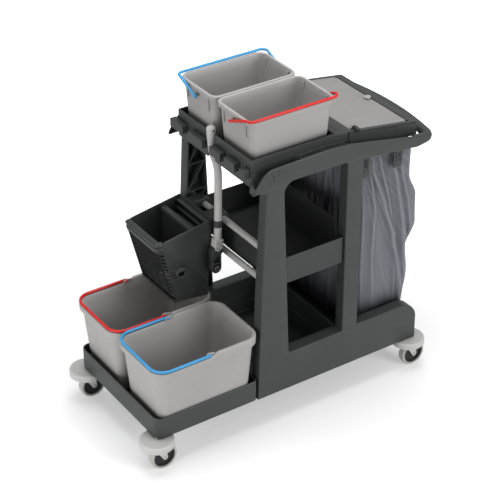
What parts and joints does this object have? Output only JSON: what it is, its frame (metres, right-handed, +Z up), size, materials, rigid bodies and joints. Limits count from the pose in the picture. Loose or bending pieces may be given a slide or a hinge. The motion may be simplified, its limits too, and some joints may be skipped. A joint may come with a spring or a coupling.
{
  "type": "housekeeping cart",
  "caption": "Janitorial cart with mop buckets, hung side-press wringer, shelf, caddy deck and lidded waste bag on swivel casters.",
  "frame": {"origin": "on the floor, midway between the front and rear casters' contact points and between the side frames", "axes": "+X towards the push handle and bag end, +Y to the pusher's right hand, +Z up"},
  "size_m": [1.145, 0.57, 1.1197],
  "materials": {
    "graphite_plastic": "moulded, fine leather texture",
    "dark_plastic": "moulded, satin",
    "bucket_plastic": "moulded, smooth satin",
    "light_plastic": "moulded, smooth satin",
    "wheel_plastic": "moulded",
    "tyre_rubber": "non-marking light grey rubber",
    "red_plastic": "smooth",
    "blue_plastic": "smooth",
    "lever_coating": "grey powder coat",
    "flap_plastic": "fine texture",
    "bag_film": "thin translucent film",
    "steel": "zinc plated",
    "knob_plastic": "clear, polished"
  },
  "bodies": {
    "frame": {"base_pan": "graphite_plastic", "left_side_frame": "graphite_plastic", "right_side_frame": "graphite_plastic", "top_deck": "graphite_plastic", "deck_bridge": "graphite_plastic", "tool_rack": "graphite_plastic", "shelf_tray": "dark_plastic", "upper_cross_tube": "lever_coating", "lower_cross_tube": "lever_coating", "push_handle": "graphite_plastic", "frame_screws": "steel", "caster_stems": "steel", "hinge_pins": "dark_plastic", "waste_bag": "bag_film"},
    "bag_lid": {"bag_lid_frame": "graphite_plastic"},
    "lid_flap": {"bag_lid_flap": "flap_plastic", "flap_pull_knob": "knob_plastic"},
    "clip_front_left": {"bag_clip_front_left": "graphite_plastic"},
    "clip_rear_left": {"bag_clip_rear_left": "graphite_plastic"},
    "clip_front_right": {"bag_clip_front_right": "graphite_plastic"},
    "clip_rear_right": {"bag_clip_rear_right": "graphite_plastic"},
    "left_bucket": {"left_bucket": "bucket_plastic"},
    "left_bucket_bail": {"left_bucket_bail": "blue_plastic"},
    "right_bucket": {"right_bucket": "bucket_plastic"},
    "right_bucket_bail": {"right_bucket_bail": "red_plastic"},
    "left_caddy": {"left_caddy": "bucket_plastic"},
    "left_caddy_bail": {"left_caddy_bail": "red_plastic"},
    "right_caddy": {"right_caddy": "bucket_plastic"},
    "right_caddy_bail": {"right_caddy_bail": "blue_plastic"},
    "wringer": {"wringer_body": "dark_plastic", "wringer_grille": "dark_plastic", "press_shaft": "steel", "lever_pivot_pin": "steel"},
    "press": {"press_plate": "dark_plastic"},
    "lever": {"lever_knuckle": "dark_plastic", "lever_tube": "lever_coating", "lever_collar": "dark_plastic", "lever_grip": "light_plastic"},
    "front_left_buffer": {"front_left_buffer": "light_plastic"},
    "front_left_swivel": {"front_left_fork": "light_plastic", "front_left_axle": "steel"},
    "front_left_wheel": {"front_left_wheel": "wheel_plastic", "front_left_tyre": "tyre_rubber"},
    "front_right_buffer": {"front_right_buffer": "light_plastic"},
    "front_right_swivel": {"front_right_fork": "light_plastic", "front_right_axle": "steel"},
    "front_right_wheel": {"front_right_wheel": "wheel_plastic", "front_right_tyre": "tyre_rubber"},
    "rear_left_buffer": {"rear_left_buffer": "light_plastic"},
    "rear_left_swivel": {"rear_left_fork": "light_plastic", "rear_left_axle": "steel"},
    "rear_left_wheel": {"rear_left_wheel": "wheel_plastic", "rear_left_tyre": "tyre_rubber"},
    "rear_right_buffer": {"rear_right_buffer": "light_plastic"},
    "rear_right_swivel": {"rear_right_fork": "light_plastic", "rear_right_axle": "steel"},
    "rear_right_wheel": {"rear_right_wheel": "wheel_plastic", "rear_right_tyre": "tyre_rubber"}
  },
  "joints": [
    {"name": "bag_lid_hinge", "type": "hinge", "parent": "frame", "child": "bag_lid", "pos_m": [0.25, 0, 0.9755], "axis": [0, -1, 0], "range_deg": [0, 70]},
    {"name": "lid_flap_hinge", "type": "hinge", "parent": "bag_lid", "child": "lid_flap", "pos_m": [0.25, 0, 0.9755], "axis": [0, 1, 0], "range_deg": [-95, 0]},
    {"name": "clip_front_left_hinge", "type": "hinge", "parent": "frame", "child": "clip_front_left", "pos_m": [0.277, -0.213, 0.87984], "axis": [-1, 0, 0], "range_deg": [0, 80]},
    {"name": "clip_rear_left_hinge", "type": "hinge", "parent": "frame", "child": "clip_rear_left", "pos_m": [0.411, -0.213, 0.8655], "axis": [-1, 0, 0], "range_deg": [0, 80]},
    {"name": "clip_front_right_hinge", "type": "hinge", "parent": "frame", "child": "clip_front_right", "pos_m": [0.277, 0.213, 0.87984], "axis": [1, 0, 0], "range_deg": [0, 80]},
    {"name": "clip_rear_right_hinge", "type": "hinge", "parent": "frame", "child": "clip_rear_right", "pos_m": [0.411, 0.213, 0.8655], "axis": [1, 0, 0], "range_deg": [0, 80]},
    {"name": "left_bucket_lift", "type": "slide", "parent": "frame", "child": "left_bucket", "axis": [0, 0, 1], "range_m": [0, 0.3]},
    {"name": "right_bucket_lift", "type": "slide", "parent": "frame", "child": "right_bucket", "axis": [0, 0, 1], "range_m": [0, 0.006]},
    {"name": "left_bucket_bail_swing", "type": "hinge", "parent": "left_bucket", "child": "left_bucket_bail", "pos_m": [-0.34, -0.1325, 0.384], "axis": [0, 1, 0], "range_deg": [0, 170]},
    {"name": "right_bucket_bail_swing", "type": "hinge", "parent": "right_bucket", "child": "right_bucket_bail", "pos_m": [-0.34, 0.1325, 0.384], "axis": [0, 1, 0], "range_deg": [0, 75]},
    {"name": "left_caddy_lift", "type": "slide", "parent": "frame", "child": "left_caddy", "axis": [0, 0, 1], "range_m": [0, 0.25]},
    {"name": "right_caddy_lift", "type": "slide", "parent": "frame", "child": "right_caddy", "axis": [0, 0, 1], "range_m": [0, 0.25]},
    {"name": "left_caddy_bail_swing", "type": "hinge", "parent": "left_caddy", "child": "left_caddy_bail", "pos_m": [0.011, -0.1025, 1.081], "axis": [-1, 0, 0], "range_deg": [0, 125]},
    {"name": "right_caddy_bail_swing", "type": "hinge", "parent": "right_caddy", "child": "right_caddy_bail", "pos_m": [0.011, 0.1025, 1.081], "axis": [1, 0, 0], "range_deg": [0, 125]},
    {"name": "wringer_lift", "type": "slide", "parent": "frame", "child": "wringer", "axis": [0, 0, 1], "range_m": [0, 0.024]},
    {"name": "wringer_lever_swing", "type": "hinge", "parent": "wringer", "child": "lever", "pos_m": [-0.142, 0.014, 0.495], "axis": [0, -1, 0], "range_deg": [0, 60]},
    {"name": "press_plate_swing", "type": "hinge", "parent": "wringer", "child": "press", "pos_m": [-0.214, 0.129, 0.42], "axis": [0, -1, 0], "range_deg": [0, 15]},
    {"name": "front_left_buffer_spin", "type": "hinge", "parent": "frame", "child": "front_left_buffer", "pos_m": [-0.522, -0.228, 0.106], "axis": [0, 0, 1], "continuous": true},
    {"name": "front_left_swivel_turn", "type": "hinge", "parent": "frame", "child": "front_left_swivel", "pos_m": [-0.522, -0.228, 0.098], "axis": [0, 0, 1], "continuous": true},
    {"name": "front_left_wheel_roll", "type": "hinge", "parent": "front_left_swivel", "child": "front_left_wheel", "pos_m": [-0.503, -0.228, 0.046], "axis": [0, 1, 0], "continuous": true},
    {"name": "front_right_buffer_spin", "type": "hinge", "parent": "frame", "child": "front_right_buffer", "pos_m": [-0.522, 0.228, 0.106], "axis": [0, 0, 1], "continuous": true},
    {"name": "front_right_swivel_turn", "type": "hinge", "parent": "frame", "child": "front_right_swivel", "pos_m": [-0.522, 0.228, 0.098], "axis": [0, 0, 1], "continuous": true},
    {"name": "front_right_wheel_roll", "type": "hinge", "parent": "front_right_swivel", "child": "front_right_wheel", "pos_m": [-0.503, 0.228, 0.046], "axis": [0, 1, 0], "continuous": true},
    {"name": "rear_left_buffer_spin", "type": "hinge", "parent": "frame", "child": "rear_left_buffer", "pos_m": [0.486, -0.228, 0.106], "axis": [0, 0, 1], "continuous": true},
    {"name": "rear_left_swivel_turn", "type": "hinge", "parent": "frame", "child": "rear_left_swivel", "pos_m": [0.486, -0.228, 0.098], "axis": [0, 0, 1], "continuous": true},
    {"name": "rear_left_wheel_roll", "type": "hinge", "parent": "rear_left_swivel", "child": "rear_left_wheel", "pos_m": [0.505, -0.228, 0.046], "axis": [0, 1, 0], "continuous": true},
    {"name": "rear_right_buffer_spin", "type": "hinge", "parent": "frame", "child": "rear_right_buffer", "pos_m": [0.486, 0.228, 0.106], "axis": [0, 0, 1], "continuous": true},
    {"name": "rear_right_swivel_turn", "type": "hinge", "parent": "frame", "child": "rear_right_swivel", "pos_m": [0.486, 0.228, 0.098], "axis": [0, 0, 1], "continuous": true},
    {"name": "rear_right_wheel_roll", "type": "hinge", "parent": "rear_right_swivel", "child": "rear_right_wheel", "pos_m": [0.505, 0.228, 0.046], "axis": [0, 1, 0], "continuous": true}
  ],
  "couplings": [
    {"joint": "press_plate_swing", "follows": "wringer_lever_swing", "ratio": 0.25}
  ]
}
